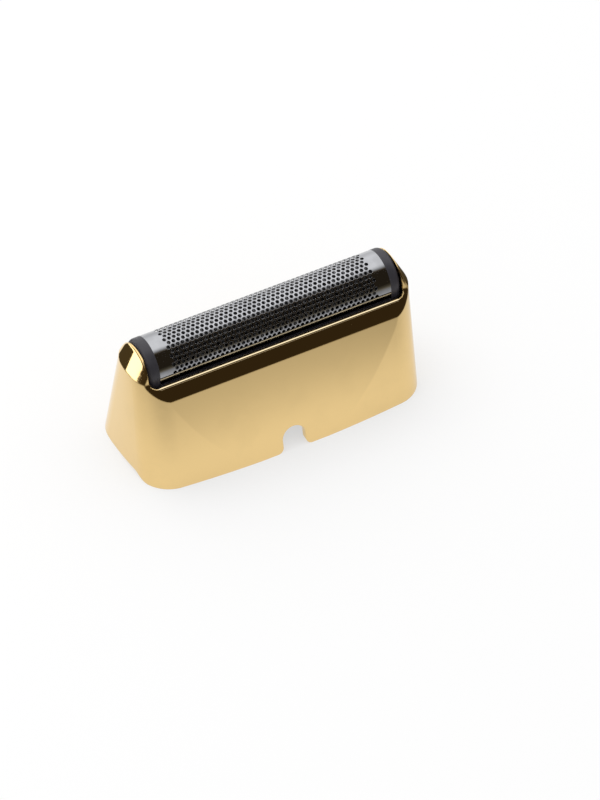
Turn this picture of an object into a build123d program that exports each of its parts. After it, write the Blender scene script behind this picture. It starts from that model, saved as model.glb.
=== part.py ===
from build123d import *
import os
from math import atan2, cos, degrees, radians, sin, sqrt, tan

# A shaver foil head. A plated hood carries an arched, perforated foil between two D-shaped
# end caps. Under the foil a bar of thin arched blades slides from side to side.
# X runs along the foil, -Y is the front, +Z is up. The origin is the middle of the hood's base.
# All sizes are millimetres.

# Foil and its holes
foil_length = 44.3
foil_radius = 4.65
foil_thickness = 0.15
foil_leg = 7.2
axis_height = 21.2
hole_across = 2.2
hole_pitch = 3.3
hole_rows = 5
hole_margin = 2.2

# End caps
cap_length = 2.0
cap_rounding = 1.0
cap_spigot = 0.5

# Slot in the hood's top
slot_side_gap = 0.85
slot_end_gap = 0.15
slot_corner = 1.3
rim_bevel = 0.3

# Hood, outside
ear_length = 2.85
end_draft = 0.45
base_end_bow = 0.7
crease_end_bow = 1.4
side_bow = 1.6
base_corner = 6.1
crease_corner = 6.0
corner_share = 0.95
bevel_run = 2.15
bevel_angle = 45.0
crease_drop = 3.0
crease_rounding = 0.25
skirt_swell = 1.25
front_flare = 2.55
back_flare = 4.45
panel_foot_inset = 0.1
hood_wall = 1.3

# Ears, the half-round ends of the hood's top
ear_stand_off = 0.2
ear_root_rounding = 1.2
ear_lean = 2.9
ear_overrun = 1.0

# Notch and relief in the hood's lower edge
notch_width = 4.4
notch_height = 4.6
notch_lead_in = 1.1
relief_rise = 0.85
relief_front = 7.3
relief_peak = 3.7
relief_back = 5.0

# Cassette frame and its two rails
frame_drop = 5.2
frame_height = 2.5
frame_rim = 1.25
frame_end_gap = 0.45
rail_thickness = 0.6
rail_height = 3.6

# Chassis, what holds it in the hood, and the two catches
flange_thickness = 1.5
flange_gap = 0.3
collar_wall = 1.0
collar_depth = 7.0
stop_rib_spacing = 30.0
stop_rib_width = 1.6
ledge_reach = 0.7
ledge_length = 6.0
ledge_height = 0.9
catch_thickness = 0.4
catch_width = 5.0
catch_drop = 7.6
catch_bump = 0.5
catch_bump_drop = 5.3
catch_foot = 2.0

# Cutter
blade_count = 31
blade_thickness = 0.3
blade_gap = 0.25
blade_depth = 0.95
blade_leg = 3.4
stroke = 1.1
cutter_end_gap = 0.45
end_plate = 1.0
end_plate_inset = 0.2
carrier_lift = 0.4
carrier_bow = 1.5
socket_length = 7.0
socket_width = 4.6
socket_depth = 3.0
pin_diameter = 1.0
pin_rise = 1.8

# Clearances, and how far a cutting block reaches past what it cuts
running_gap = 0.3
fit_gap = 0.05
past = 1.0
tall = 60.0

# Sizes that follow from those above
foil_half = foil_length / 2
foil_inside = foil_radius - foil_thickness
cap_outer_end = foil_half + cap_length
slot_half_length = cap_outer_end + slot_end_gap
slot_half_width = foil_radius + slot_side_gap
hood_length = 2 * (cap_outer_end + ear_length)
ear_radius = foil_radius + ear_stand_off
ear_top = axis_height + ear_radius
crease_height = axis_height - crease_drop
crease_half_depth = slot_half_width + bevel_run
rim_height = crease_height + bevel_run * tan(radians(bevel_angle))
front_base = crease_half_depth + skirt_swell + front_flare
back_base = crease_half_depth + skirt_swell + back_flare
base_middle = (back_base - front_base) / 2
frame_top = axis_height - frame_drop
frame_bottom = frame_top - frame_height
flange_bottom = frame_bottom - flange_thickness
collar_half = foil_half - cap_spigot
blade_radius = foil_inside - blade_gap
blade_inner = blade_radius - blade_depth
cutter_half = foil_half - cap_spigot - stroke - cutter_end_gap
carrier_bottom = flange_bottom + carrier_lift
pin_height = carrier_bottom + pin_rise


def outline(length, front, back, bow, corner, height):
    """A closed plan outline with gently bowed sides and rounded corners."""
    x = length / 2 - bow
    middle = (back - front) / 2
    low, high = side_bow - front, back - side_bow
    sides = [
        ThreePointArc((-x, low), (0, -front), (x, low)),
        ThreePointArc((x, low), (length / 2, middle), (x, high)),
        ThreePointArc((x, high), (0, back), (-x, high)),
        ThreePointArc((-x, high), (-length / 2, middle), (-x, low)),
    ]
    face = make_face(sides)
    room = corner_share * min(x, (high - low) / 2)
    return Pos(0, 0, height) * fillet(face.vertices(), min(corner, room))


def hood_section(height, inset, end_inset=0.0):
    """The hood's plan at a height, its walls moved in by inset and its ends by end_inset too."""
    share = height / crease_height
    length = hood_length - 2 * (end_draft * share + inset + end_inset)
    front = front_base - front_flare * share - inset
    back = back_base - back_flare * share - inset
    bow = base_end_bow + (crease_end_bow - base_end_bow) * share
    corner = base_corner + (crease_corner - base_corner) * share - inset
    return outline(length, front, back, bow, corner, height)


def skirt(inset, bottom, top):
    """The flared skirt between two heights, its walls moved in by inset."""
    return loft([hood_section(bottom, inset), hood_section(top, inset)], ruled=True)


def crown(lean):
    """What stands on the skirt, up to just over the ears, its end walls leaning in by lean."""
    lower = hood_section(axis_height, 0)
    return loft([lower, hood_section(ear_top + ear_overrun, 0, lean)], ruled=True)


def ear_trimmer():
    """What is cut away outside the ears so that their end walls lean in."""
    return Pos(0, 0, axis_height + tall / 2) * Box(2 * tall, 2 * tall, tall) - crown(ear_lean)


def roof_face(inset):
    """The long sloping bevels under a flat top, seen from the end."""
    slope = tan(radians(bevel_angle))
    low_half = 2 * crease_half_depth
    middle = crease_height + crease_half_depth * slope - inset / cos(radians(bevel_angle))
    profile = Polyline(
        (-low_half, -tall),
        (low_half, -tall),
        (low_half, middle - low_half * slope),
        (foil_radius, middle - foil_radius * slope),
        (-foil_radius, middle - foil_radius * slope),
        (-low_half, middle - low_half * slope),
        close=True,
    )
    return make_face(profile)


def roof_with_ears():
    """The bevels and the half-round ears as one profile, rounded where they meet, along X."""
    face = roof_face(0) + Pos(0, axis_height) * Circle(ear_radius)
    roots = [v for v in face.vertices() if abs(v.X) < ear_radius and v.Y > rim_height]
    return extrude(Plane.YZ * fillet(roots, ear_root_rounding), tall, both=True)


def panel_cutter(foot, inset):
    """A leaning block that cuts one flat panel, from the crease to its foot at the base."""
    lean = degrees(atan2(foot - panel_foot_inset - crease_half_depth, crease_height))
    block = Pos(0, tall / 2, 0) * Box(2 * tall, tall, 2 * tall)
    return Pos(0, crease_half_depth - inset, crease_height) * Rot(lean, 0, 0) * block


def panel_cutters(inset):
    """The two blocks that cut the flat back and front panels."""
    return panel_cutter(back_base, inset) + mirror(panel_cutter(front_base, inset), Plane.XZ)


def slot():
    """The opening in the top that the foil and its caps stand in."""
    plan = RectangleRounded(2 * slot_half_length, 2 * slot_half_width, slot_corner)
    return Pos(0, 0, frame_top) * extrude(plan, tall)


def end_reliefs():
    """The shallow rise in the lower edge of both end walls."""
    start, peak = (-relief_front, 0), (-relief_peak, relief_rise)
    face = make_face(
        [
            Line((-relief_front, -past), start),
            Spline(start, peak, tangents=[(1, 0), (1, 0.1)]),
            Line(peak, (relief_back, 0)),
            Line((relief_back, 0), (relief_back, -past)),
            Line((relief_back, -past), (-relief_front, -past)),
        ]
    )
    right = Pos(slot_half_length, 0, 0) * extrude(Plane.YZ * face, tall)
    return right + mirror(right, Plane.YZ)


def notch():
    """The round-topped notch in the front wall, with rounded lead-in corners."""
    half, lead = notch_width / 2, notch_lead_in
    spring = notch_height - half
    lead_in = half + lead
    side, rise = lead_in - lead * sin(radians(45)), lead - lead * cos(radians(45))
    face = make_face(
        [
            Line((-lead_in, -past), (lead_in, -past)),
            Line((lead_in, -past), (lead_in, 0)),
            ThreePointArc((lead_in, 0), (side, rise), (half, lead)),
            Line((half, lead), (half, spring)),
            ThreePointArc((half, spring), (0, notch_height), (-half, spring)),
            Line((-half, spring), (-half, lead)),
            ThreePointArc((-half, lead), (-side, rise), (-lead_in, 0)),
            Line((-lead_in, 0), (-lead_in, -past)),
        ]
    )
    return Pos(0, -slot_half_width, 0) * extrude(Plane.XZ * face, tall)


def stop_places():
    """The two places along X where the hood stops and retains the pieces inside it."""
    return [Pos(-stop_rib_spacing / 2, 0, 0), Pos(stop_rib_spacing / 2, 0, 0)]


def hood_inside(inset):
    """The space inside the hood's walls and bevels, moved in by inset."""
    space = skirt(inset, -past, crease_height + hood_wall) - panel_cutters(inset)
    return space & extrude(Plane.YZ * roof_face(inset), tall, both=True)


def make_stops():
    """Ribs over the cassette frame and ledges under the chassis, joined to the hood's walls."""
    rib = Pos(0, 0, frame_top + tall / 2) * Box(stop_rib_width, tall, tall)
    rib -= Box(2 * tall, 2 * slot_half_width, 4 * tall)
    ledge = Pos(0, 0, flange_bottom - ledge_height / 2) * Box(ledge_length, tall, ledge_height)
    ledge -= skirt(hood_wall + ledge_reach, -past, crease_height)
    wall_space = hood_inside(hood_wall / 2)
    return [wall_space & (place * piece) for place in stop_places() for piece in (rib, ledge)]


def at_height(edge, height):
    """Whether an edge lies level at a height."""
    box = edge.bounding_box()
    return abs(box.min.Z - height) < fit_gap and abs(box.max.Z - height) < fit_gap


def make_hood():
    """The plated hood: flared skirt, long bevels, ears, slot, and the stops inside."""
    body = skirt(0, 0, axis_height) + crown(0) - panel_cutters(0)
    body = body & roof_with_ears()
    creases = [e for e in body.edges() if at_height(e, crease_height) and abs(e.center().X) < past]
    body = fillet(creases, crease_rounding) - slot()
    low, high = rim_height - fit_gap, slot_half_length + fit_gap
    rim = [e for e in body.edges() if e.bounding_box().min.Z > low and abs(e.center().X) < high]
    body = chamfer(rim, rim_bevel) - ear_trimmer()
    ear_room = Box(2 * slot_half_length, 2 * tall, 2 * tall)
    low_room = Pos(0, 0, frame_top - tall) * Box(2 * tall, 2 * tall, 2 * tall)
    cavity = hood_inside(hood_wall) & (ear_room + low_room)
    return body - cavity - notch() - end_reliefs() + make_stops()


def arch_face(radius, leg):
    """A half disc standing on straight legs, in the YZ plane, centred on the foil's axis."""
    disc = Pos(0, 0, axis_height) * (Plane.YZ * Circle(radius))
    block = Plane.YZ * Pos(0, axis_height - leg / 2) * Rectangle(2 * radius, leg)
    above = Plane.YZ * Pos(0, axis_height + radius / 2) * Rectangle(2 * radius, radius)
    return (disc & above) + block


def arch_bar(radius, leg, start, end):
    """The arch face as a bar between two places along X."""
    return Pos(start, 0, 0) * extrude(arch_face(radius, leg), end - start)


def hole_cutter(angle, place):
    """One six-sided hole, cut along the foil's own normal."""
    tool = extrude(RegularPolygon(hole_across / 2, 6, major_radius=False), foil_radius * 2)
    return Pos(place, 0, axis_height) * Rot(angle, 0, 0) * tool


def make_foil():
    """The arched foil with staggered rows of six-sided holes and plain margins."""
    sheet = arch_bar(foil_radius, foil_leg, -foil_half, foil_half)
    sheet -= arch_bar(foil_inside, foil_leg + past, -foil_half, foil_half)
    row_turn = degrees(hole_pitch * sqrt(3) / 2 / foil_radius)
    count = int(2 * (foil_half - hole_margin) / hole_pitch)
    holes = []
    for row in range(hole_rows):
        turn = (row - (hole_rows - 1) / 2) * row_turn
        shift = hole_pitch / 2 * (row % 2)
        for column in range(count - row % 2):
            place = (column - (count - 1) / 2) * hole_pitch + shift
            holes.append(hole_cutter(turn, place))
    return sheet - holes


def make_end_cap(side):
    """A D-shaped plug that closes one end of the foil, with a spigot inside it."""
    cap = arch_bar(foil_radius, frame_drop, foil_half, cap_outer_end)
    outer = cap.faces().sort_by(Axis.X)[-1]
    cap = fillet(outer.edges().filter_by(GeomType.CIRCLE), cap_rounding)
    cap += arch_bar(foil_inside - fit_gap, frame_drop, foil_half - cap_spigot, foil_half)
    return cap if side > 0 else mirror(cap, Plane.YZ)


def make_rail(side):
    """A strip beside the foil's edge that clamps it along its whole length."""
    block = Box(foil_length, rail_thickness, rail_height)
    rail = Pos(0, foil_radius + rail_thickness / 2, frame_top + rail_height / 2) * block
    top = rail.edges().filter_by(Axis.X).sort_by(Axis.Z)[-2:].sort_by(Axis.Y)[-1]
    rail = fillet(top, rail_thickness / 2)
    return rail if side > 0 else mirror(rail, Plane.XZ)


def ring(half_length, half_width, opening_half_length, opening_half_width, corner, low, high):
    """A flat rectangular frame between two heights, its outside corners rounded."""
    outside = RectangleRounded(2 * half_length, 2 * half_width, corner)
    inside = Rectangle(2 * opening_half_length, 2 * opening_half_width)
    return Pos(0, 0, low) * extrude(outside - inside, high - low)


def make_cassette_frame():
    """The frame that the caps and rails stand on. The foil's legs run down inside it."""
    half_width = foil_radius + frame_rim
    half_length = hood_length / 2 - hood_wall - frame_end_gap
    frame = ring(half_length, half_width, foil_half, foil_radius, frame_rim, frame_bottom, frame_top)
    return frame & hood_inside(hood_wall + frame_end_gap)


def make_chassis():
    """The flange under the cassette frame, with the collar that the shaver's neck enters."""
    plate = Rectangle(hood_length, 2 * back_base)
    flange = Pos(0, 0, flange_bottom) * extrude(plate, flange_thickness)
    flange = flange & hood_inside(hood_wall + flange_gap)
    flange -= Box(2 * collar_half, 2 * foil_radius, tall)
    collar_bottom = flange_bottom - collar_depth
    collar = ring(
        collar_half + collar_wall, foil_radius + collar_wall, collar_half, foil_radius, collar_wall,
        collar_bottom, flange_bottom,
    )
    window_height = collar_depth - 2 * collar_wall
    window = Box(tall, catch_width + 2 * running_gap, window_height)
    return flange + (collar - Pos(0, 0, collar_bottom + window_height / 2) * window)


def make_catch(side):
    """A leaf spring on the flange, bent through the collar's window to grip the shaver's neck."""
    start = collar_half + collar_wall + catch_thickness / 2
    top = flange_bottom - catch_thickness / 2
    path = Polyline(
        (start + catch_foot, top),
        (start, top),
        (start, flange_bottom - 2 * collar_wall - catch_thickness),
        (collar_half - catch_thickness / 2 - catch_bump, flange_bottom - catch_bump_drop),
        (start, flange_bottom - catch_drop),
    )
    leaf = extrude(Plane.XZ * trace(path, catch_thickness), catch_width / 2, both=True)
    return leaf if side > 0 else mirror(leaf, Plane.YZ)


def blade_place(index):
    """The middle of one blade along X."""
    last = cutter_half - end_plate - fit_gap - blade_thickness / 2
    return last * (2 * index / (blade_count - 1) - 1)


def make_blade(index):
    """One thin arched blade, its legs seated in the carrier."""
    half = blade_thickness / 2
    blade = arch_bar(blade_radius, blade_leg, -half, half)
    blade -= arch_bar(blade_inner, blade_leg, -half, half)
    return Pos(blade_place(index), 0, 0) * blade


def make_carrier():
    """The moulded bar that carries the blades, with a bowed underside and the drive socket."""
    seat = axis_height - blade_leg
    core = arch_bar(blade_inner - fit_gap, blade_leg, -cutter_half, cutter_half)
    plates = arch_bar(blade_radius - end_plate_inset, blade_leg, -cutter_half, cutter_half)
    plates -= arch_bar(blade_radius + past, blade_leg, end_plate - cutter_half, cutter_half - end_plate)
    ends = carrier_bottom + carrier_bow
    profile = make_face(
        [
            Line((-cutter_half, seat), (cutter_half, seat)),
            Line((cutter_half, seat), (cutter_half, ends)),
            ThreePointArc((cutter_half, ends), (0, carrier_bottom), (-cutter_half, ends)),
            Line((-cutter_half, ends), (-cutter_half, seat)),
        ]
    )
    base = extrude(Plane.XZ * profile, blade_radius, both=True)
    socket = Pos(0, 0, carrier_bottom) * extrude(Rectangle(socket_length, socket_width), socket_depth)
    pin_hole = Pos(0, 0, pin_height) * Rot(90, 0, 0) * Cylinder(pin_diameter / 2 + fit_gap, tall)
    return core + plates + base - socket - pin_hole


def make_pin():
    """The steel cross pin through the carrier, which the shaver's drive catches."""
    return Pos(0, 0, pin_height) * Rot(90, 0, 0) * Cylinder(pin_diameter / 2, 2 * blade_radius)


def make_parts():
    """Every separate piece by its node name, modelled about the foil's middle plane."""
    parts = {"hood": make_hood(), "foil": make_foil()}
    parts["cassette_frame"] = make_cassette_frame()
    parts["chassis"] = make_chassis()
    for name, side in (("left", -1), ("right", 1)):
        parts[f"end_cap_{name}"] = make_end_cap(side)
        parts[f"catch_spring_{name}"] = make_catch(side)
    for name, side in (("front", -1), ("back", 1)):
        parts[f"foil_rail_{name}"] = make_rail(side)
    parts["cutter_carrier"] = make_carrier()
    parts["cross_pin"] = make_pin()
    for index in range(blade_count):
        parts[f"blade_{index + 1:02d}"] = make_blade(index)
    return parts


if __name__ == "__main__":
    os.makedirs("parts", exist_ok=True)
    for name, solid in make_parts().items():
        export_step(Pos(0, -base_middle, 0) * solid, f"parts/{name}.step")
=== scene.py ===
"""A shaver foil head, dressed in its finishes and set on a white table.

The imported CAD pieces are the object. This script gives each of them a finish, makes the foil
with its fine holes in place of the plain one, adds the beads along the slot, and sets up the
studio and the camera.
Every length is in metres, in the frame of the CAD.
"""
import logging
import math
from dataclasses import dataclass
from enum import Enum
from typing import Callable, Mapping, Sequence, Union

import bmesh
import bpy
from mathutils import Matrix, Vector


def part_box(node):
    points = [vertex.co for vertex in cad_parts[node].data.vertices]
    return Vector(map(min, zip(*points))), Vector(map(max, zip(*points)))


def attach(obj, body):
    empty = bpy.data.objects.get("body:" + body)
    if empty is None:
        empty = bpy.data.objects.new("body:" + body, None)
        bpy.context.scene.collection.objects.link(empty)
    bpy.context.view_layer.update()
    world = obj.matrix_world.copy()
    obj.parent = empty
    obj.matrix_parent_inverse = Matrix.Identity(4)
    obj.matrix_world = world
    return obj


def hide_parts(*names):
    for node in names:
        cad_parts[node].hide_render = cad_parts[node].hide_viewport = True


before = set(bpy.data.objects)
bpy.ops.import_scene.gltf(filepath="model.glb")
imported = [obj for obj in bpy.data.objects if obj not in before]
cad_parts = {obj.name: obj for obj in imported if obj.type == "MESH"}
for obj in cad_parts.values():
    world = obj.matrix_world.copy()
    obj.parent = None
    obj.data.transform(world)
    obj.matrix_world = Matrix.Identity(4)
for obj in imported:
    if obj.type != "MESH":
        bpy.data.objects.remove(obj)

log = logging.getLogger("foil_head")

MM = 0.001
QUARTER_TURN = math.pi / 2
ORIGIN = (0.0, 0.0, 0.0)
WHITE = (1.0, 1.0, 1.0)
BLACK = (0.0, 0.0, 0.0)
Colour = tuple[float, float, float]
Span = tuple[float, float]  # where a smooth step starts and where it ends
Number = Union[float, "Signal"]


class Grain(Enum):
    """Which way the fine marks of a metal run."""

    ALONG = (1.0, 30.0, 30.0)
    ACROSS = (30.0, 1.0, 30.0)
    UPRIGHT = (30.0, 30.0, 1.0)


# ---------------------------------------------------------------- shader writing


class Signal:
    """One socket of a shader, written in sums as if it were a number."""

    def __init__(self, shader: "Shader", socket: bpy.types.NodeSocket) -> None:
        """Keeps the socket and the shader that it belongs to.

        Args:
            shader: The shader that new Math nodes are added to.
            socket: The output socket that carries the value.
        """
        self.shader = shader
        self.socket = socket

    def _math(self, operation: str, *values: Number) -> "Signal":
        """Adds one Math node.

        Args:
            operation: The Math node's operation.
            values: Its inputs, numbers or signals.

        Returns:
            The node's value.
        """
        return self.shader.node("ShaderNodeMath", {"operation": operation}, dict(enumerate(values)))

    def __add__(self, other: Number) -> "Signal":
        """This value plus another."""
        return self._math("ADD", self, other)

    def __radd__(self, other: Number) -> "Signal":
        """Another value plus this one."""
        return self._math("ADD", other, self)

    def __sub__(self, other: Number) -> "Signal":
        """This value minus another."""
        return self._math("SUBTRACT", self, other)

    def __rsub__(self, other: Number) -> "Signal":
        """Another value minus this one."""
        return self._math("SUBTRACT", other, self)

    def __mul__(self, other: Number) -> "Signal":
        """This value times another."""
        return self._math("MULTIPLY", self, other)

    def __rmul__(self, other: Number) -> "Signal":
        """Another value times this one."""
        return self._math("MULTIPLY", other, self)

    def __truediv__(self, other: Number) -> "Signal":
        """This value divided by another."""
        return self._math("DIVIDE", self, other)

    def __rtruediv__(self, other: Number) -> "Signal":
        """Another value divided by this one."""
        return self._math("DIVIDE", other, self)

    def __pow__(self, other: Number) -> "Signal":
        """This value raised to a power."""
        return self._math("POWER", self, other)

    def rises(self, low: float, high: float) -> "Signal":
        """A smooth step of this value.

        Args:
            low: Where the step starts, at 0.
            high: Where it ends, at 1. It may be below low, and then the step falls.

        Returns:
            The step, between 0 and 1.
        """
        settings = {"interpolation_type": "SMOOTHSTEP"}
        inputs = {"Value": self, "From Min": low, "From Max": high, "To Min": 0.0, "To Max": 1.0}
        return self.shader.node("ShaderNodeMapRange", settings, inputs)


class Shader:
    """A node tree that is written as expressions."""

    noise_roughness: float = 0.55
    edge_samples: int = 12
    # A Mix node's sockets for the share, the two colours and the mixed colour.
    mix_share, mix_first, mix_second, mix_result = 0, 6, 7, 2

    def __init__(self, owner: Union[bpy.types.Material, bpy.types.World]) -> None:
        """Clears the owner's nodes.

        Args:
            owner: The material or the world.
        """
        owner.use_nodes = True
        self.tree = owner.node_tree
        self.tree.nodes.clear()

    def node(
        self,
        kind: str,
        settings: Mapping[str, object] | None = None,
        inputs: Mapping[Union[str, int], object] | None = None,
        output: Union[str, int] = 0,
    ) -> Signal:
        """Adds any node.

        Args:
            kind: The node's type.
            settings: Its properties, which are set first.
            inputs: Values or signals by socket name or number.
            output: The output socket that is wanted.

        Returns:
            That output as a signal.
        """
        made = self.tree.nodes.new(kind)
        for name, value in (settings or {}).items():
            setattr(made, name, value)
        for name, value in (inputs or {}).items():
            if isinstance(value, Signal):
                self.tree.links.new(value.socket, made.inputs[name])
            else:
                made.inputs[name].default_value = value
        return Signal(self, made.outputs[output])

    def parts(self, vector: Signal) -> tuple[Signal, Signal, Signal]:
        """Takes a vector apart.

        Args:
            vector: The vector.

        Returns:
            Its three numbers.
        """
        first = self.node("ShaderNodeSeparateXYZ", inputs={0: vector})
        outputs = first.socket.node.outputs
        return first, Signal(self, outputs[1]), Signal(self, outputs[2])

    def place(self, scale: Sequence[float] = (1.0, 1.0, 1.0)) -> Signal:
        """The place on the object, stretched along its axes.

        Args:
            scale: The factor along each axis.

        Returns:
            The stretched place.
        """
        where = self.node("ShaderNodeTexCoord", output="Object")
        return self.node("ShaderNodeMapping", inputs={"Vector": where, "Scale": tuple(scale)})

    def noise(self, scale: float, where: Signal, detail: float = 3.0) -> Signal:
        """Even, fine noise between 0 and 1.

        Args:
            scale: How many grains stand in a metre.
            where: The place that it is read at.
            detail: How many finer layers it has.

        Returns:
            The noise.
        """
        inputs = {"Vector": where, "Scale": scale, "Detail": detail}
        inputs["Roughness"] = self.noise_roughness
        return self.node("ShaderNodeTexNoise", inputs=inputs)

    def blend(self, factor: Signal, first: Colour, second: Colour) -> Signal:
        """A mix of two colours.

        Args:
            factor: The share of the second colour.
            first: The first colour.
            second: The second colour.

        Returns:
            The mixed colour.
        """
        inputs = {self.mix_share: factor}
        inputs[self.mix_first], inputs[self.mix_second] = (*first, 1.0), (*second, 1.0)
        return self.node("ShaderNodeMix", {"data_type": "RGBA"}, inputs, self.mix_result)

    def layer(self, factor: Signal, first: Signal, second: Signal) -> Signal:
        """A mix of two surfaces, where the factor is the share of the second."""
        return self.node("ShaderNodeMixShader", inputs=dict(enumerate((factor, first, second))))

    def bump(
        self, height: Signal, strength: float, depth: float, under: Signal | None = None
    ) -> Signal:
        """A bumped normal.

        Args:
            height: The height, between 0 and 1.
            strength: How strong the bump is.
            depth: How high a height of 1 stands, in metres.
            under: The normal that is bumped, or none for the surface's own.

        Returns:
            The normal.
        """
        inputs = {"Strength": strength, "Distance": depth, "Height": height}
        if under is not None:
            inputs["Normal"] = under
        return self.node("ShaderNodeBump", inputs=inputs)

    def soft_edges(self, radius: float) -> Signal:
        """The surface's normal with its edges rounded off at a radius."""
        return self.node("ShaderNodeBevel", {"samples": self.edge_samples}, {"Radius": radius})

    def finish(self, kind: str, surface: Signal) -> None:
        """Links the last node to the output node.

        Args:
            kind: The output node's type.
            surface: What is linked to it.
        """
        last = self.tree.nodes.new(kind)
        self.tree.links.new(surface.socket, last.inputs["Surface"])


# ---------------------------------------------------------------- finishes


@dataclass(frozen=True)
class Finish:
    """What every finish has: its name and its colour."""

    name: str
    colour: Colour

    def surface(self, shader: Shader) -> dict[str, object]:
        """The sockets of the surface shader that differ from plain.

        Args:
            shader: The shader that is being written.

        Returns:
            Values or signals by socket name.
        """
        raise NotImplementedError

    def material(self) -> bpy.types.Material:
        """Makes the material.

        Returns:
            The material, ready to put on a piece.
        """
        made = bpy.data.materials.new(self.name)
        shader = Shader(made)
        inputs = self.surface(shader)
        surface = shader.node("ShaderNodeBsdfPrincipled", inputs=inputs)
        shader.finish("ShaderNodeOutputMaterial", surface)
        return made


@dataclass(frozen=True)
class MirrorPlating(Finish):
    """Bright plating, with the haze and the fine wiping marks of a handled piece."""

    roughness: float = 0.03
    edge_radius: float = 0.45 * MM
    haze_grains: float = 160.0
    haze_shows: Span = (0.45, 0.75)
    haze_roughness: float = 0.04
    haze_share: float = 0.4
    haze_tone: float = 0.93
    mark_grains: float = 900.0
    mark_detail: float = 5.0
    mark_shows: Span = (0.58, 0.72)
    mark_roughness: float = 0.02
    ripple_grains: float = 260.0
    ripple_detail: float = 1.0
    ripple_strength: float = 0.03
    ripple_depth: float = 0.02 * MM

    def surface(self, shader: Shader) -> dict[str, object]:
        """The sockets of the plating's shader.

        Args:
            shader: The shader that is being written.

        Returns:
            Values or signals by socket name.
        """
        place = shader.place()
        haze = shader.noise(self.haze_grains, place).rises(*self.haze_shows)
        along = shader.place(Grain.ALONG.value)
        marks = shader.noise(self.mark_grains, along, self.mark_detail).rises(*self.mark_shows)
        hazy = tuple(part * self.haze_tone for part in self.colour)
        ripple = shader.noise(self.ripple_grains, place, self.ripple_detail)
        dulled = haze * self.haze_roughness + marks * self.mark_roughness
        edges = shader.soft_edges(self.edge_radius)
        return {
            "Base Color": shader.blend(haze * self.haze_share, self.colour, hazy),
            "Metallic": 1.0,
            "Roughness": dulled + self.roughness,
            "Normal": shader.bump(ripple, self.ripple_strength, self.ripple_depth, edges),
        }


@dataclass(frozen=True)
class RolledSteel(Finish):
    """Thin bright steel with faint marks from the rolls."""

    roughness: float = 0.07
    grain: Grain = Grain.ALONG
    edge_radius: float = 0.05 * MM
    streak_grains: float = 420.0
    streak_detail: float = 6.0
    streak_roughness: float = 0.05
    streak_strength: float = 0.06
    streak_depth: float = 0.006 * MM
    cloud_grains: float = 300.0
    cloud_shows: Span = (0.4, 0.7)
    cloud_roughness: float = 0.03
    cloud_tone: float = 0.86

    def surface(self, shader: Shader) -> dict[str, object]:
        """The sockets of the steel's shader.

        Args:
            shader: The shader that is being written.

        Returns:
            Values or signals by socket name.
        """
        along = shader.place(self.grain.value)
        streaks = shader.noise(self.streak_grains, along, self.streak_detail)
        cloud = shader.noise(self.cloud_grains, shader.place())
        dull = tuple(part * self.cloud_tone for part in self.colour)
        marked = streaks * self.streak_roughness + cloud * self.cloud_roughness
        edges = shader.soft_edges(self.edge_radius)
        return {
            "Base Color": shader.blend(cloud.rises(*self.cloud_shows), self.colour, dull),
            "Metallic": 1.0,
            "Roughness": marked + self.roughness,
            "Normal": shader.bump(streaks, self.streak_strength, self.streak_depth, edges),
        }


@dataclass(frozen=True)
class Moulding(Finish):
    """Dark moulded plastic with a fine satin grain."""

    roughness: float = 0.36
    grains: float = 9000.0
    grain_detail: float = 2.0
    grain_roughness: float = 0.06
    grain_strength: float = 0.25
    grain_depth: float = 0.012 * MM
    worn_grains: float = 240.0
    worn_shows: Span = (0.48, 0.72)
    worn_roughness: float = 0.1
    worn_share: float = 0.5
    worn_gain: float = 1.5
    worn_lift: float = 0.006

    def surface(self, shader: Shader) -> dict[str, object]:
        """The sockets of the plastic's shader.

        Args:
            shader: The shader that is being written.

        Returns:
            Values or signals by socket name.
        """
        place = shader.place()
        grain = shader.noise(self.grains, place, self.grain_detail)
        worn = shader.noise(self.worn_grains, place).rises(*self.worn_shows)
        pale = tuple(part * self.worn_gain + self.worn_lift for part in self.colour)
        dulled = worn * self.worn_roughness + grain * self.grain_roughness
        return {
            "Base Color": shader.blend(worn * self.worn_share, self.colour, pale),
            "Roughness": dulled + self.roughness,
            "Normal": shader.bump(grain, self.grain_strength, self.grain_depth),
        }


PLATING = MirrorPlating("Gold plating", (0.92, 0.665, 0.305))
# A paler copy of the gold plating: a painted highlight that makes the beads read as a bright rim
# line.
RIM_HIGHLIGHT_PLATING = MirrorPlating("Rim plating, painted highlight", (0.95, 0.78, 0.48), edge_radius=0.02 * MM)
FOIL_STEEL = RolledSteel("Foil steel", (0.45, 0.455, 0.475))
SPRING_STEEL = RolledSteel("Spring steel", (0.62, 0.62, 0.63), 0.24, Grain.UPRIGHT)
# Darker than bare steel: painted shade for the dark space under the foil, where the blades are seen
# through the holes.
SHADED_BLADE_STEEL = RolledSteel("Blade steel, darkened as painted shade", (0.20, 0.20, 0.21), 0.45, Grain.ACROSS)
CAP_PLASTIC = Moulding("Cap plastic", (0.032, 0.030, 0.037))
FRAME_PLASTIC = Moulding("Frame plastic", (0.026, 0.026, 0.029), 0.42, 7000.0)
CARRIER_PLASTIC = Moulding("Carrier plastic", (0.022, 0.022, 0.024), 0.4, 8000.0)


# ---------------------------------------------------------------- hand modelling


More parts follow.
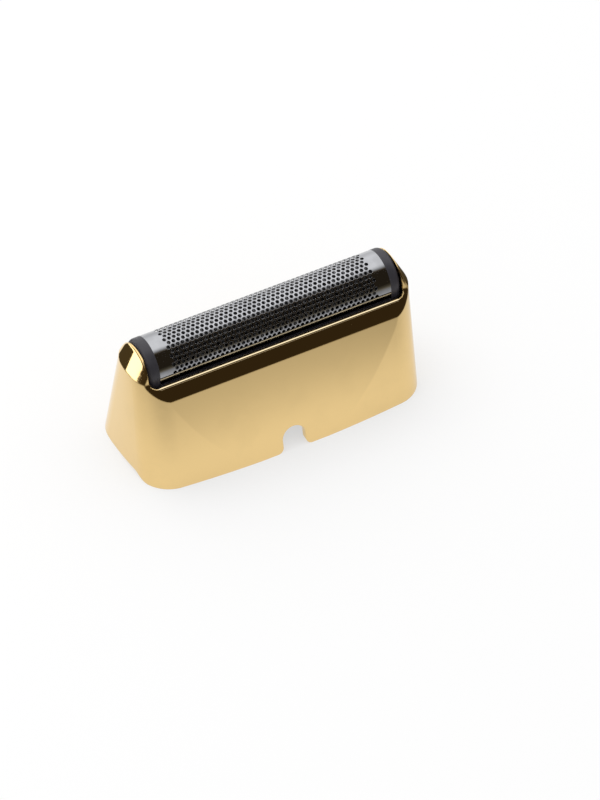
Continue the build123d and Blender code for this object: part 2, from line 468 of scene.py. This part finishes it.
class Bench:
    """The small steps of hand modelling that new pieces use."""

    @staticmethod
    def clear() -> None:
        """Leaves edit mode and deselects everything."""
        active = bpy.context.view_layer.objects.active
        if active is not None and active.mode != "OBJECT":
            bpy.ops.object.mode_set(mode="OBJECT")
        bpy.ops.object.select_all(action="DESELECT")

    @staticmethod
    def take(*pieces: bpy.types.Object) -> None:
        """Selects pieces and nothing else.

        Args:
            pieces: The pieces. The first one becomes the active one.
        """
        Bench.clear()
        for piece in pieces:
            piece.select_set(True)
        bpy.context.view_layer.objects.active = pieces[0]

    @staticmethod
    def select(piece: bpy.types.Object, test: Callable[[Vector], bool]) -> None:
        """Opens a piece in edit mode and selects the edges whose two ends pass a test.

        Args:
            piece: The piece.
            test: Whether a place passes.
        """
        Bench.take(piece)
        bpy.ops.object.mode_set(mode="EDIT")
        bpy.ops.mesh.select_mode(type="VERT")
        bpy.ops.mesh.select_all(action="DESELECT")
        mesh = bmesh.from_edit_mesh(piece.data)
        for vertex in mesh.verts:
            vertex.select_set(test(vertex.co))
        mesh.select_flush(True)
        bmesh.update_edit_mesh(piece.data)

    @staticmethod
    def resize(factors: Sequence[float]) -> None:
        """Scales what is selected about the origin."""
        bpy.ops.transform.resize(value=factors, center_override=ORIGIN)

    @staticmethod
    def draw_out(way: Sequence[float]) -> None:
        """Extrudes what is selected."""
        bpy.ops.mesh.extrude_region_move(TRANSFORM_OT_translate={"value": tuple(way)})

    @staticmethod
    def modify(piece: bpy.types.Object, kind: str, settings: Mapping[str, object]) -> None:
        """Adds a modifier and applies it.

        Args:
            piece: The piece.
            kind: The modifier's type.
            settings: Its properties.
        """
        Bench.take(piece)
        modifier = piece.modifiers.new(kind.title(), kind)
        for name, value in settings.items():
            setattr(modifier, name, value)
        bpy.ops.object.modifier_apply(modifier=modifier.name)

    @staticmethod
    def repeat(piece: bpy.types.Object, count: int, step: Sequence[float], weld: float) -> None:
        """Repeats a piece in a row, welded where the copies meet.

        Args:
            piece: The piece.
            count: How many there are in all.
            step: The way from one to the next.
            weld: The distance under which corners are welded.
        """
        settings = {
            "count": count,
            "use_relative_offset": False,
            "use_constant_offset": True,
            "constant_offset_displace": tuple(step),
            "use_merge_vertices": True,
            "merge_threshold": weld,
        }
        Bench.modify(piece, "ARRAY", settings)

    @staticmethod
    def outward(piece: bpy.types.Object) -> None:
        """Turns all the faces of a closed piece outwards, or those of a sheet one way.

        Args:
            piece: The piece.
        """
        Bench.take(piece)
        bpy.ops.object.mode_set(mode="EDIT")
        bpy.ops.mesh.select_all(action="SELECT")
        bpy.ops.mesh.normals_make_consistent(inside=False)
        bpy.ops.object.mode_set(mode="OBJECT")

    @staticmethod
    def shift(piece: bpy.types.Object, way: Sequence[float], turn: float = 0.0) -> None:
        """Turns a piece about X and moves it, and leaves its object at the origin.

        Args:
            piece: The piece.
            way: How far it is moved.
            turn: How far it is turned about X first, in radians.
        """
        Bench.take(piece)
        piece.location = way
        piece.rotation_euler.x = turn
        bpy.ops.object.transform_apply(location=True, rotation=True, scale=True)


def dress(nodes: Sequence[str], finish: Finish) -> None:
    """Puts one finish on some CAD nodes.

    Args:
        nodes: The nodes' names.
        finish: The finish.
    """
    material = finish.material()
    for name in nodes:
        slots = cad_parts[name].data.materials
        slots.clear()
        slots.append(material)
    log.info("%s on %d pieces", finish.name, len(nodes))


# ---------------------------------------------------------------- the head


@dataclass
class Hood:
    """The flared, plated hood, with a rolled bead along the front and back of its opening."""

    node: str = "hood"
    body: str = "head"
    record_slot: str = "gold_plating"
    finish: Finish = PLATING
    # The beads' paler gold is a painted highlight.
    bead_highlight_finish: Finish = RIM_HIGHLIGHT_PLATING
    bead_half_length: float = 22.7 * MM
    bead_across: float = 0.80 * MM
    bead_tall: float = 0.42 * MM
    bead_taper: float = 0.5 * MM
    bead_tip: float = 0.3
    bead_sides: int = 32
    bead_smooth: float = math.radians(50)
    opening_middle: float = -0.95 * MM
    bead_aside: float = 5.68 * MM
    bead_height: float = 20.04 * MM

    def bead(self) -> bpy.types.Object:
        """Models one bead along X, with tapered ends.

        Returns:
            The bead, centred.
        """
        Bench.clear()
        bpy.ops.mesh.primitive_cylinder_add(vertices=self.bead_sides, radius=1.0, depth=1.0)
        piece = bpy.context.object
        Bench.select(piece, lambda place: True)
        Bench.resize((self.bead_tall / 2, self.bead_across / 2, 2 * self.bead_half_length))
        bpy.ops.transform.rotate(value=QUARTER_TURN, orient_axis="Y", center_override=ORIGIN)
        for side in (-1, 1):
            Bench.select(piece, lambda place: side * place.x > 0)
            Bench.draw_out((side * self.bead_taper, 0.0, 0.0))
            Bench.resize((1.0, self.bead_tip, self.bead_tip))
        Bench.clear()
        return piece

    def beads(self) -> bpy.types.Object:
        """Puts a bead on each side of the opening, as one piece.

        Returns:
            The two beads.
        """
        front = self.bead()
        Bench.take(front)
        bpy.ops.object.duplicate(linked=False)
        back = bpy.context.object
        Bench.shift(front, (0.0, self.opening_middle - self.bead_aside, self.bead_height))
        Bench.shift(back, (0.0, self.opening_middle + self.bead_aside, self.bead_height))
        Bench.take(front, back)
        bpy.ops.object.join()
        Bench.outward(front)
        bpy.ops.object.shade_smooth_by_angle(angle=self.bead_smooth)
        front.name = front.data.name = "rim_beads"
        front.data.materials.append(self.bead_highlight_finish.material())
        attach(front, self.body)
        log.info("%s with %d faces", front.name, len(front.data.polygons))
        return front

    def build(self) -> None:
        """Dresses the hood and adds its beads."""
        dress([self.node], self.finish)
        self.beads()


@dataclass
class PerforatedFoil:
    """The arched foil with its fine six-sided holes, in place of the CAD's plain one."""

    node: str = "foil"
    body: str = "head"
    record_slot: str = "foil_steel"
    finish: Finish = FOIL_STEEL
    hole_across: float = 0.64 * MM
    hole_pitch: float = 0.90 * MM
    columns: int = 44
    rows: int = 19
    thickness: float = 0.07 * MM
    weld: float = 0.002 * MM
    smooth: float = math.radians(35)

    @property
    def row_pitch(self) -> float:
        """The distance between two rows of holes."""
        return self.hole_pitch * math.sqrt(3) / 2

    def cell(self) -> bpy.types.Object:
        """Models one cell: a six-sided hole in a rectangle.

        Returns:
            The cell, flat and centred.
        """
        corner = self.hole_across / math.sqrt(3)
        Bench.clear()
        bpy.ops.mesh.primitive_circle_add(vertices=6, radius=corner, fill_type="NOTHING")
        piece = bpy.context.object
        Bench.select(piece, lambda place: True)
        Bench.draw_out(ORIGIN)
        Bench.resize((self.hole_pitch / self.hole_across, self.row_pitch / 2 / corner, 1.0))
        # The four side corners stand at half the height of the rectangle's.
        Bench.select(piece, lambda place: abs(place.x) > self.hole_pitch / 2 - self.weld)
        Bench.resize((1.0, 2.0, 1.0))
        Bench.clear()
        return piece

    def block(self, columns: int, rows: int) -> bpy.types.Object:
        """Repeats the cell over every second row.

        Args:
            columns: How many holes a row has.
            rows: How many rows there are.

        Returns:
            The block, flat and centred.
        """
        piece = self.cell()
        start = ((1 - columns) * self.hole_pitch / 2, (1 - rows) * self.row_pitch, 0.0)
        Bench.shift(piece, start)
        Bench.repeat(piece, columns, (self.hole_pitch, 0.0, 0.0), self.weld)
        Bench.repeat(piece, rows, (0.0, 2 * self.row_pitch, 0.0), self.weld)
        return piece

    def extend(self, piece: bpy.types.Object, axis: int, start: float, end: float) -> None:
        """Draws the sheet's edge out on both sides.

        Args:
            piece: The sheet.
            axis: 0 for its ends or 1 for its sides.
            start: How far from the middle the edge lies.
            end: How far from the middle it comes to lie.
        """
        for side in (-1, 1):
            way = [0.0, 0.0, 0.0]
            way[axis] = side * (end - start)
            Bench.select(piece, lambda place: side * place[axis] > start - self.weld)
            Bench.draw_out(way)
        Bench.clear()

    def sheet(self, half_length: float, quarter: float, leg: float) -> bpy.types.Object:
        """Models the whole sheet, still flat.

        Args:
            half_length: Half of the foil's length.
            quarter: The arc from the foil's top to where its legs start.
            leg: How long the legs are.

        Returns:
            The flat sheet.
        """
        piece = self.block(self.columns, (self.rows + 1) // 2)
        between = self.block(self.columns - 1, self.rows // 2)
        last = self.columns * self.hole_pitch / 2
        self.extend(between, 0, last - self.hole_pitch / 2, last)
        Bench.take(piece, between)
        bpy.ops.object.join()
        bpy.ops.object.mode_set(mode="EDIT")
        bpy.ops.mesh.select_all(action="SELECT")
        bpy.ops.mesh.remove_doubles(threshold=self.weld)
        self.extend(piece, 0, last, half_length)
        self.extend(piece, 1, self.rows * self.row_pitch / 2, quarter + leg)
        return piece

    def build(self) -> bpy.types.Object:
        """Makes the foil, bends it over its arch and puts it in place of the CAD's.

        Returns:
            The foil.
        """
        low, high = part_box(self.node)
        radius, middle = (high.y - low.y) / 2, (high.y + low.y) / 2
        quarter, leg = radius * QUARTER_TURN, high.z - radius - low.z
        piece = self.sheet((high.x - low.x) / 2, quarter, leg)
        piece.name = piece.data.name = "perforated_foil"
        Bench.shift(piece, ORIGIN, QUARTER_TURN)
        # The sheet's outermost parts, its legs, stay straight.
        share = leg / (quarter + leg) / 2
        bend = {
            "deform_method": "BEND",
            "deform_axis": "X",
            "angle": math.pi,
            "limits": (share, 1 - share),
        }
        Bench.modify(piece, "SIMPLE_DEFORM", bend)
        Bench.shift(piece, ORIGIN, -QUARTER_TURN)
        Bench.shift(piece, (0.0, middle, high.z))
        self.thicken(piece)
        piece.data.materials.append(self.finish.material())
        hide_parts(self.node)
        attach(piece, self.body)
        log.info("%s with %d faces", piece.name, len(piece.data.polygons))
        return piece

    def thicken(self, piece: bpy.types.Object) -> None:
        """Gives the sheet its thickness, inwards, and smooth shading with crisp hole edges.

        Args:
            piece: The bent sheet.
        """
        Bench.outward(piece)
        top = max(piece.data.polygons, key=lambda face: face.center.z)
        inward = -1.0 if top.normal.z > 0 else 1.0
        Bench.modify(piece, "SOLIDIFY", {"thickness": self.thickness, "offset": inward})
        Bench.outward(piece)
        bpy.ops.object.shade_smooth_by_angle(angle=self.smooth)


@dataclass
class EndCaps:
    """The two D-shaped caps and the rails that hold the foil."""

    nodes: Sequence[str] = ("end_cap_left", "end_cap_right", "foil_rail_front", "foil_rail_back")
    finish: Finish = CAP_PLASTIC

    def build(self) -> None:
        """Dresses the caps and the rails."""
        dress(self.nodes, self.finish)


@dataclass
class Inside:
    """The cassette frame, the chassis and its two catches."""

    frames: Sequence[str] = ("cassette_frame", "chassis")
    springs: Sequence[str] = ("catch_spring_left", "catch_spring_right")
    frame_finish: Finish = FRAME_PLASTIC
    spring_finish: Finish = SPRING_STEEL

    def build(self) -> None:
        """Dresses the frames and the catches."""
        dress(self.frames, self.frame_finish)
        dress(self.springs, self.spring_finish)


@dataclass
class Cutter:
    """The sliding bar with its blades and its cross pin."""

    carrier: str = "cutter_carrier"
    pin: str = "cross_pin"
    blade_prefix: str = "blade_"
    carrier_finish: Finish = CARRIER_PLASTIC
    pin_finish: Finish = SPRING_STEEL
    # The blades' darkened steel is painted shade under the foil.
    shaded_blade_finish: Finish = SHADED_BLADE_STEEL

    def build(self) -> None:
        """Dresses the carrier, the pin and every blade."""
        dress([self.carrier], self.carrier_finish)
        dress([self.pin], self.pin_finish)
        blades = [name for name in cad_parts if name.startswith(self.blade_prefix)]
        dress(blades, self.shaded_blade_finish)


# ---------------------------------------------------------------- the studio


@dataclass
class Table:
    """The white table top, clear from below.

    For glossy rays it paints the reflection that bright metal shows: fading a little way from the
    head, painted shade in front, round painted dark reflections and a painted glare.
    """

    size: float = 6.0
    gap: float = 0.02 * MM
    colour: Colour = (0.93, 0.93, 0.93)
    glow: float = 0.6
    reach: float = 68 * MM
    fading: float = 3.0
    beyond: float = 0.06
    # How much darker the painted reflection is in front of the head: painted shade.
    front_painted_shade: float = 0.27
    front_span: Span = (-10 * MM, -45 * MM)
    back_span: Span = (0.0, 45 * MM)
    corner_right: Span = (45 * MM, 75 * MM)
    corner_back: Span = (75 * MM, 45 * MM)
    # Each painted dark reflection's place to the right, its place to the back, and its radius.
    dark_reflections: Sequence[Sequence[float]] = (
        (-72 * MM, 100 * MM, 62 * MM),
        (58 * MM, 20 * MM, 15 * MM),
    )
    dark_reflection_edge: float = 6 * MM
    # The warm tint of the painted reflection where it is dark.
    dark_tint: Colour = (1.0, 0.72, 0.22)
    tinted: Span = (0.45, 0.1)
    glare: float = 2.2
    glare_left: Span = (-80 * MM, -110 * MM)
    glare_back: Span = (60 * MM, 90 * MM)

    def build(self) -> bpy.types.Object:
        """Makes the table top.

        Returns:
            The table top.
        """
        Bench.clear()
        bpy.ops.mesh.primitive_plane_add(size=self.size)
        top = bpy.context.object
        top.name = "table"
        Bench.shift(top, (0.0, 0.0, -self.gap))
        material = bpy.data.materials.new("Table")
        shader = Shader(material)
        x, y, _ = shader.parts(shader.place())
        camera = shader.node("ShaderNodeLightPath", output="Is Camera Ray")
        mirrored = shader.node("ShaderNodeLightPath", output="Is Glossy Ray")
        # For glossy rays the table's colour and glow are a painted reflection, with painted shade
        # in front, painted dark reflections and a painted glare; for the camera the table is plain
        # white.
        level = 1.0 - mirrored * (1.0 - self.shown(x, y)) * (1.0 - self.beyond)
        colour = shader.blend(level, BLACK, self.colour)
        tint = shader.blend(level.rises(*self.tinted), WHITE, self.dark_tint)
        matte = shader.node("ShaderNodeBsdfDiffuse", inputs={"Color": colour})
        bright = shader.node("ShaderNodeEmission", inputs={"Color": tint, "Strength": level})
        above = shader.layer((camera + mirrored) * self.glow, matte, bright)
        below = shader.node("ShaderNodeNewGeometry", output="Backfacing")
        clear = shader.node("ShaderNodeBsdfTransparent")
        shader.finish("ShaderNodeOutputMaterial", shader.layer(below, above, clear))
        top.data.materials.append(material)
        log.info("table")
        return top

    def shown(self, x: Signal, y: Signal) -> Signal:
        """The painted reflection: how bright the table is in the mirror of bright metal.

        Args:
            x: The place to the right.
            y: The place to the back.

        Returns:
            The brightness there, where 1 is white.
        """
        away = (x * x + y * y) ** 0.5
        near = 1.0 / (1.0 + (away / self.reach) ** self.fading)
        corner = x.rises(*self.corner_right) * y.rises(*self.corner_back)
        behind = y.rises(*self.back_span) * (1.0 - corner)
        level = near + behind * (1.0 - near)
        level = level * (1.0 - y.rises(*self.front_span) * self.front_painted_shade)
        glare = x.rises(*self.glare_left) * y.rises(*self.glare_back) * self.glare
        return level * self.outside_dark_reflections(x, y) * (1.0 + glare)

    def outside_dark_reflections(self, x: Signal, y: Signal) -> Signal:
        """Where the round painted dark reflections that bright metal shows aren't.

        Args:
            x: The place to the right.
            y: The place to the back.

        Returns:
            0 in a painted dark reflection and 1 outside them all.
        """
        shown = 1.0
        for across, back, radius in self.dark_reflections:
            away = ((x - across) ** 2.0 + (y - back) ** 2.0) ** 0.5
            shown = away.rises(radius, radius + self.dark_reflection_edge) * shown
        return shown


@dataclass
class Surroundings:
    """The room's light: even and pale.

    Bright metal shows it with a dark side in front, and dark low down at both ends.
    """

    ambient: float = 0.86
    overhead: float = 1.3
    horizon: float = 0.95
    front: float = 0.03
    side: float = 0.05
    dark_tint: Colour = (1.0, 0.74, 0.44)
    tinted: Span = (0.35, 0.05)
    climb: Span = (0.08, 0.6)
    side_width: Span = (0.2, 0.38)
    side_height: Span = (0.45, 0.2)
    front_edge: Span = (-0.42, 0.04)

    def build(self) -> bpy.types.World:
        """Makes the world.

        Returns:
            The world.
        """
        world = bpy.data.worlds.new("Studio")
        bpy.context.scene.world = world
        shader = Shader(world)
        direction = shader.node("ShaderNodeTexCoord", output="Generated")
        x, y, z = shader.parts(direction)
        seen = self.seen(x, y, z)
        camera = shader.node("ShaderNodeLightPath", output="Is Camera Ray")
        glossy = shader.node("ShaderNodeLightPath", output="Is Glossy Ray")
        through = shader.node("ShaderNodeLightPath", output="Is Transmission Ray")
        plain = 1.0 - camera - glossy - through
        level = camera + through + glossy * seen + plain * self.ambient
        tint = shader.blend(seen.rises(*self.tinted) * glossy, WHITE, self.dark_tint)
        inputs = {"Color": tint, "Strength": level}
        shader.finish("ShaderNodeOutputWorld", shader.node("ShaderNodeBackground", inputs=inputs))
        world.cycles.sampling_method = "NONE"
        log.info("surroundings")
        return world

    def seen(self, x: Signal, y: Signal, z: Signal) -> Signal:
        """What bright metal shows of the room.

        Args:
            x: The direction's share to the right.
            y: Its share to the back.
            z: Its share upwards.

        Returns:
            The brightness in that direction.
        """
        back = self.horizon + z.rises(*self.climb) * (self.overhead - self.horizon)
        sides = (x ** 2.0).rises(*self.side_width) * z.rises(*self.side_height)
        back = sides * self.side + (1.0 - sides) * back
        lit = y.rises(*self.front_edge)
        return lit * back + (1.0 - lit) * self.front


@dataclass
class Lamp:
    """The soft lamp that gives the head its faint shadow. Bright metal doesn't show it."""

    name: str = "lamp_over"
    place: Sequence[float] = (-0.15, 0.25, 0.6)
    size: float = 0.5
    power: float = 1.3

    def build(self) -> bpy.types.Object:
        """Adds the square lamp, pointed at the head.

        Returns:
            The lamp.
        """
        Bench.clear()
        bpy.ops.object.light_add(type="AREA", location=self.place)
        lamp = bpy.context.object
        lamp.name = self.name
        lamp.rotation_euler = (-Vector(self.place)).to_track_quat("-Z", "Y").to_euler()
        lamp.data.shape, lamp.data.size, lamp.data.energy = "SQUARE", self.size, self.power
        lamp.visible_glossy = False
        log.info("lamp")
        return lamp


@dataclass
class Camera:
    """The camera at the photograph's angle, with a long lens."""

    azimuth: float = -27.93
    elevation: float = 44.0
    distance: float = 1.0
    lens: float = 265.5
    watched: Vector = Vector((0.0, -0.95 * MM, 21.2 * MM))
    # How far off the watched point the camera is aimed, which sets the head into the frame.
    aim_right: float = 6.05 * MM
    aim_down: float = 13.85 * MM
    nearest: float = 0.05
    farthest: float = 50.0

    def build(self) -> bpy.types.Object:
        """Adds the camera.

        Returns:
            The camera.
        """
        turn, rise = math.radians(self.azimuth), math.radians(self.elevation)
        flat = math.cos(rise)
        back = Vector((math.sin(turn) * flat, -math.cos(turn) * flat, math.sin(rise)))
        right = Vector((math.cos(turn), math.sin(turn), 0.0))
        up = back.cross(right)
        place = self.watched + back * self.distance
        aim = self.watched + right * self.aim_right - up * self.aim_down
        Bench.clear()
        bpy.ops.object.camera_add(location=place)
        camera = bpy.context.object
        camera.rotation_euler = (aim - place).to_track_quat("-Z", "Y").to_euler()
        camera.data.lens = self.lens
        camera.data.clip_start, camera.data.clip_end = self.nearest, self.farthest
        bpy.context.scene.camera = camera
        bpy.context.scene.view_settings.view_transform = "Standard"
        log.info("camera")
        return camera


def main() -> None:
    """Builds and dresses every piece and sets up the studio."""
    logging.basicConfig(level=logging.INFO, format="%(name)s: %(message)s")
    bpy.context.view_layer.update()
    for piece in (Hood(), PerforatedFoil(), EndCaps(), Inside(), Cutter()):
        piece.build()
    for thing in (Table(), Surroundings(), Lamp(), Camera()):
        thing.build()


if __name__ == "__main__":
    main()
